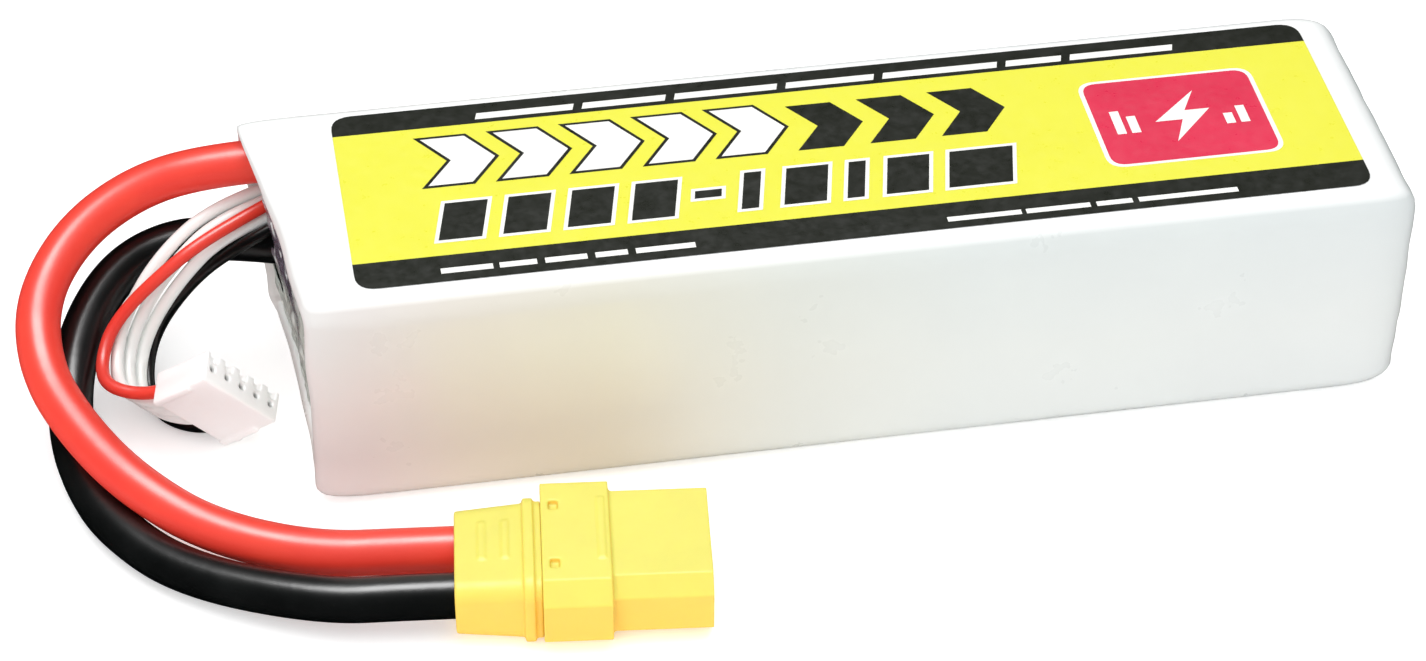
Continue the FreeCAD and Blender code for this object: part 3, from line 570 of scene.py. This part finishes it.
def flat_points(outline, steps=6):
    """An outline of (x, y, radius) corners with each corner rounded."""
    points = []
    count = len(outline)
    for index, (x, y, radius) in enumerate(outline):
        corner = Vector((x, y))
        if radius <= 0:
            points.append(corner)
            continue
        before = Vector(outline[index - 1][:2]) - corner
        after = Vector(outline[(index + 1) % count][:2]) - corner
        half = before.angle(after) / 2
        reach = min(radius / math.tan(half), before.length * 0.49, after.length * 0.49)
        start, end = corner + before.normalized() * reach, corner + after.normalized() * reach
        for step in range(steps + 1):
            share = step / steps
            points.append(start * (1 - share) ** 2 + corner * 2 * share * (1 - share) + end * share ** 2)
    return points


def decal(name, shapes, level, look):
    """Flat printed shapes on top of the pack, a set height above it in millimetres."""
    work = bmesh.new()
    for outline in shapes:
        corners = [work.verts.new((x * MM, y * MM, (HEIGHT + level) * MM)) for x, y in outline]
        work.faces.new(corners)
    bmesh.ops.recalc_face_normals(work, faces=work.faces)
    for face in work.faces:
        if face.normal.z < 0:
            face.normal_flip()
    bmesh.ops.triangulate(work, faces=[face for face in work.faces if len(face.verts) > 4])
    mesh = bpy.data.meshes.new(name)
    work.to_mesh(mesh)
    work.free()
    piece = bpy.data.objects.new(name, mesh)
    collection.objects.link(piece)
    dress(piece, look)
    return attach(piece, BODY)


def ink(name, colour, other):
    """Printed film: slight unevenness, satin gloss and very small scuffs."""
    return worn(name, colour, other, (0.26, 0.40), 700, 0.006, 90, Coat_Weight=0.25, Coat_Roughness=0.15)


M["ink_yellow"] = ink("label_yellow", (0.80, 0.79, 0.062, 1), (0.78, 0.765, 0.055, 1))
M["ink_black"] = ink("label_black", (0.012, 0.014, 0.009, 1), (0.016, 0.018, 0.013, 1))
M["ink_white"] = ink("label_white", srgb(248, 248, 244), srgb(238, 238, 234))
M["ink_rose"] = ink("label_rose", srgb(224, 52, 84), srgb(214, 44, 76))

x0, x1 = LABEL_CENTRE - LABEL_LENGTH / 2, LABEL_CENTRE + LABEL_LENGTH / 2
y0, y1 = -LABEL_WIDTH / 2, LABEL_WIDTH / 2
rounded = [(x, y, LABEL_CORNER) for x, y in ((x0, y0), (x1, y0), (x1, y1), (x0, y1))]
FAR_BAND, NEAR_BAND = 4.1, 5.0
label = decal("label_sheet", [flat_points(rounded)], 0.09, "ink_black")
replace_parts(label, "label")
field = [(x0, y0 + NEAR_BAND), (x1, y0 + NEAR_BAND), (x1, y1 - FAR_BAND), (x0, y1 - FAR_BAND)]
decal("label_field", [field], 0.10, "ink_yellow")


def grown(outline, extra):
    """An outline of plain corners moved outward by an even margin, counter-clockwise."""
    points = [Vector(corner) for corner in outline]
    area = sum(points[i - 1].x * points[i].y - points[i].x * points[i - 1].y for i in range(len(points)))
    sign = 1 if area > 0 else -1
    result = []
    for index, point in enumerate(points):
        before = (point - points[index - 1]).normalized()
        after = (points[(index + 1) % len(points)] - point).normalized()
        normal_one = Vector((before.y, -before.x)) * sign
        normal_two = Vector((after.y, -after.x)) * sign
        joint = normal_one + normal_two
        joint = joint / max(0.35, joint.length_squared) * 2
        result.append(point + joint * extra)
    return result


def chevron(left, base, width, height, lean, notch):
    """A forward-pointing chevron."""
    return [(left, base), (left + width, base), (left + width + lean, base + height / 2),
            (left + width, base + height), (left, base + height), (left + notch, base + height / 2)]


def slab(left, base, width, height, lean):
    """A leaning block."""
    top = base + height
    return [(left, base), (left + width, base), (left + width + lean, top), (left + lean, top)]


blacks, whites, tops = [], [], []
for step in range(5):
    shape = chevron(-50.6 + 9.3 * step, 1.4, 5.6, 9.6, 3.4, 3.4)
    blacks.append(grown(shape, 0.45))
    whites.append(shape)
for step in range(3):
    shape = chevron(-3.6 + 9.3 * step, 1.0, 5.9, 9.4, 3.4, 3.4)
    blacks.append(shape)
for left, width in ((-50.6, 5.4), (-42.6, 5.4), (-34.6, 5.4), (-26.6, 5.4), (-12.8, 2.2),
                    (-7.4, 5.4), (0.6, 2.2), (5.6, 5.4), (13.6, 8.2)):
    shape = slab(left, -9.6, width, 7.2, 1.6)
    whites.append(grown(shape, 0.5))
    tops.append(shape)
dash = slab(-18.2, -6.6, 3.4, 1.5, 0.3)
whites.append(grown(dash, 0.5))
tops.append(dash)
decal("label_outlines", blacks, 0.115, "ink_black")
decal("label_whites", whites, 0.13, "ink_white")
decal("label_blocks", tops, 0.145, "ink_black")

# Thin bars in rows: base, height, lean, then the left end and width of each bar.
lines = []
for base, height, lean, spans in (
        (14.2, 1.25, 0.35, ((-43.2, 12.6), (-29.4, 10.8), (-17.4, 13.4), (-2.8, 11.6), (10.0, 15.2),
                            (26.4, 7.4), (35.0, 13.8))),
        (-16.0, 1.0, 0.0, ((-51, 6.4), (-43.8, 4.6), (-38.2, 5.2), (-32, 4.0), (-27, 7.4))),
        (-16.2, 0.9, 0.0, ((12, 9.4), (22, 8.2), (31, 4.6), (36.4, 12.8)))):
    lines += [slab(left, base, width, height, lean) for left, width in spans]
decal("label_lines", lines, 0.115, "ink_white")

BADGE = (46.0, 0.0)
BADGE_ASPECT = 0.78


def badge_panel(half, radius):
    """The badge's rounded panel, wider than it is deep."""
    x, y = BADGE
    deep = half * BADGE_ASPECT
    return flat_points([(x - half, y - deep, radius), (x + half, y - deep, radius),
                        (x + half, y + deep, radius), (x - half, y + deep, radius)])


decal("badge_border", [badge_panel(11.6, 2.4)], 0.115, "ink_white")
decal("badge_field", [badge_panel(11.0, 2.0)], 0.13, "ink_rose")
bolt = [(-1.6, -5.0), (4.2, 1.2), (0.9, 1.2), (3.0, 5.2), (-3.4, -0.6), (0.2, -0.6)]
bolt = [(BADGE[0] + x, BADGE[1] + y) for x, y in bolt]
bars = [slab(BADGE[0] + 5.6 + 1.9 * step, -2.4, 1.2, 2.2 + 1.3 * step, 0) for step in range(2)]
bars += [slab(BADGE[0] - 8.8 + 1.9 * step, -2.4, 1.2, 4.8 - 1.3 * step, 0) for step in range(2)]
decal("badge_marks", [bolt] + bars, 0.145, "ink_white")

# ------------------------------------------------------------------ plugs
moulded("connector_housing", PLUG_FRAME, 0.15, 5, 0.45, "yellow")
moulded("connector_cap", PLUG_FRAME, 0.16, 8, 0.5, "yellow", CAP)
moulded("balance_plug_housing", BALANCE_FRAME, 0.13, 26, 0.8, "nylon")

# ------------------------------------------------------------------ the parts on each cord, listed but not passed on
for name, piece in cords.items():
    if name == "positive_lead":
        on_it = ["connector_housing_piece", "connector_cap_piece", "positive_contact",
                 "positive_contact_solder", "positive_lead_ends"]
    elif name == "negative_lead":
        on_it = ["negative_contact", "negative_contact_solder", "negative_lead_ends"]
    else:
        on_it = ["balance_contact_" + name[-1]]
        if name[-1] == "1":
            on_it += ["balance_plug_housing_piece", "balance_wire_ends"]

# ------------------------------------------------------------------ stage
floor_mesh = bpy.data.meshes.new("floor")
floor_mesh.from_pydata([(-3, -3, 0), (3, -3, 0), (3, 3, 0), (-3, 3, 0)], [], [(0, 1, 2, 3)])
floor = bpy.data.objects.new("floor", floor_mesh)
collection.objects.link(floor)
nodes = Nodes("floor_paper")
floor_mesh.materials.append(nodes.set(
    Base_Color=nodes.ramp(nodes.noise(8), ((0.3, (0.94, 0.94, 0.94, 1)), (0.7, (0.96, 0.96, 0.96, 1)))),
    Roughness=0.8, Specular_IOR_Level=0.1, Emission_Color=(1, 1, 1, 1), Emission_Strength=0.32))
floor.visible_glossy = False

world = bpy.data.worlds.new("studio")
bpy.context.scene.world = world
world.use_nodes = True
world.node_tree.nodes["Background"].inputs["Color"].default_value = (1, 1, 1, 1)
world.node_tree.nodes["Background"].inputs["Strength"].default_value = 0.66
world.cycles_visibility.glossy = False


def lamp(name, place, target, size, power, diffuse=True, glossy=True):
    """A soft square light aimed at a point; places in metres."""
    data = bpy.data.lights.new(name, "AREA")
    data.shape = "RECTANGLE"
    data.size, data.size_y = size
    data.energy = power
    piece = bpy.data.objects.new(name, data)
    collection.objects.link(piece)
    piece.location = place
    piece.rotation_mode = "QUATERNION"
    piece.rotation_quaternion = (Vector(target) - Vector(place)).to_track_quat("-Z", "Y")
    piece.visible_diffuse = diffuse
    piece.visible_glossy = glossy


lamp("overhead", (-0.05, -0.02, 0.8), (0, 0, 0), (1.2, 0.8), 5.0, glossy=False)
lamp("front_left", (-0.45, -0.60, 0.45), (-0.02, -0.01, 0.01), (0.6, 0.5), 2.2, glossy=False)
lamp("highlight", (-0.08, 0.10, 0.75), (-0.05, 0, 0), (0.55, 0.30), 11.0, diffuse=False)
bpy.context.scene.view_settings.view_transform = "Standard"

bpy.context.view_layer.update()
